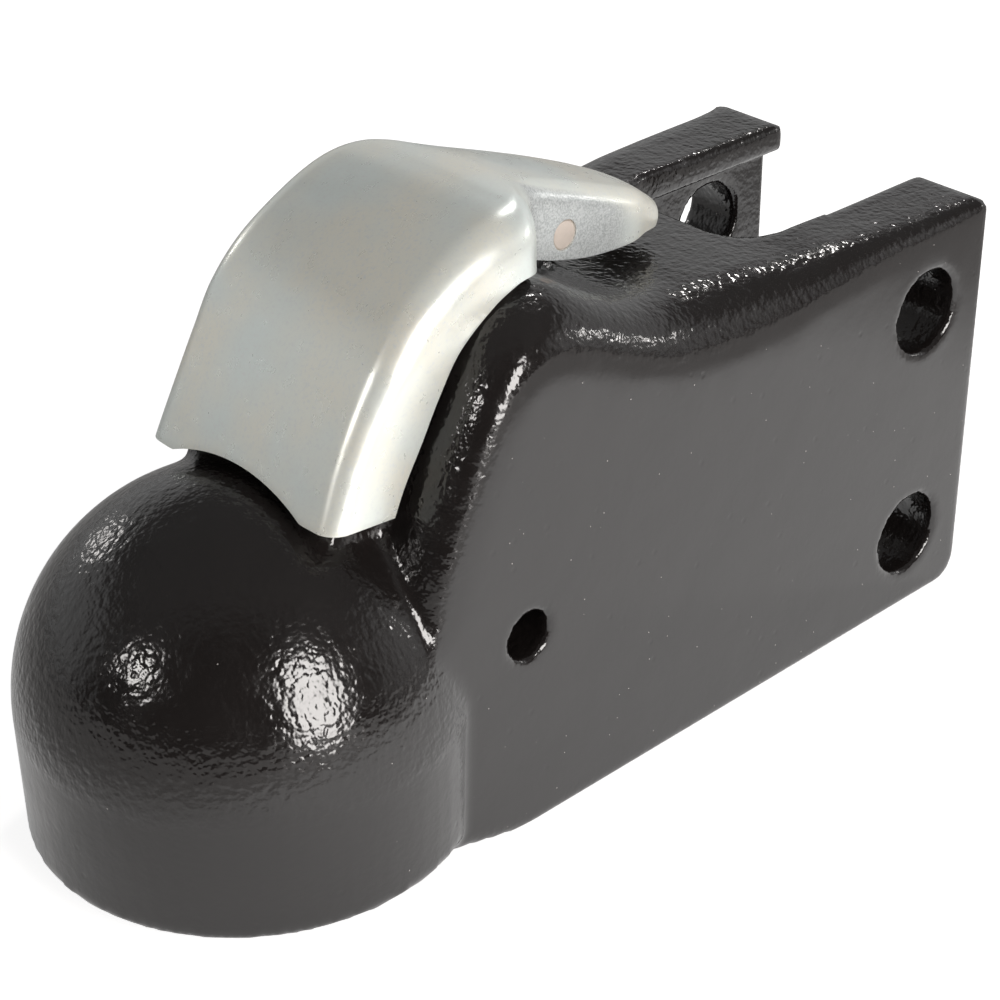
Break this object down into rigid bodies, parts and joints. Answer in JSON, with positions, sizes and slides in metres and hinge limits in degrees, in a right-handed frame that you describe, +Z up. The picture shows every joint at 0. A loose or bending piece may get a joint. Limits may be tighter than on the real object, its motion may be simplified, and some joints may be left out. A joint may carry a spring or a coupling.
{
  "type": "trailer coupling head",
  "caption": "Cast ball coupler head for a trailer tongue, with a lever handle over a sliding ball lock and a forked channel mount.",
  "frame": {"origin": "on the base plane, straight below the centre of the hitch ball, in the middle of the width", "axes": "+X from the nose of the head to the fork at the rear, +Z up, along the ball's shank from the base"},
  "size_m": [0.2142, 0.0874, 0.1234],
  "materials": {
    "black_paint": "gloss black paint over a cast surface",
    "zinc_plate": "satin zinc plating",
    "plain_steel": "turned steel",
    "spring_steel": "drawn wire",
    "lock_iron": "phosphated casting",
    "pin_steel": "bare turned end"
  },
  "bodies": {
    "housing": {"casting": "black_paint", "rod_bushing": "plain_steel", "upper_spring_seat": "plain_steel"},
    "lock": {"ball_lock": "lock_iron", "lift_rod": "plain_steel", "lower_spring_seat": "plain_steel", "lock_spring": "spring_steel", "nut_washer": "zinc_plate", "adjusting_nut": "zinc_plate", "cotter_pin": "zinc_plate"},
    "lever": {"handle": "zinc_plate", "handle_pin": "pin_steel", "spacer_sleeve": "plain_steel", "handle_spring": "spring_steel"}
  },
  "joints": [
    {"name": "lock_slide", "type": "slide", "parent": "housing", "child": "lock", "axis": [0.3059, 0, 0.9521], "range_m": [0, 0.015], "stiffness_N_per_m": 1500, "springref_m": -0.02, "deforming": ["lock_spring"]},
    {"name": "handle_tilt", "type": "hinge", "parent": "lock", "child": "lever", "pos_m": [0.07, 0, 0.1077], "axis": [0, 1, 0], "range_deg": [0, 32], "deforming": ["handle_spring"]}
  ],
  "couplings": [
    {"joint": "handle_tilt", "follows": "lock_slide", "rad_per_m": 37.2}
  ]
}
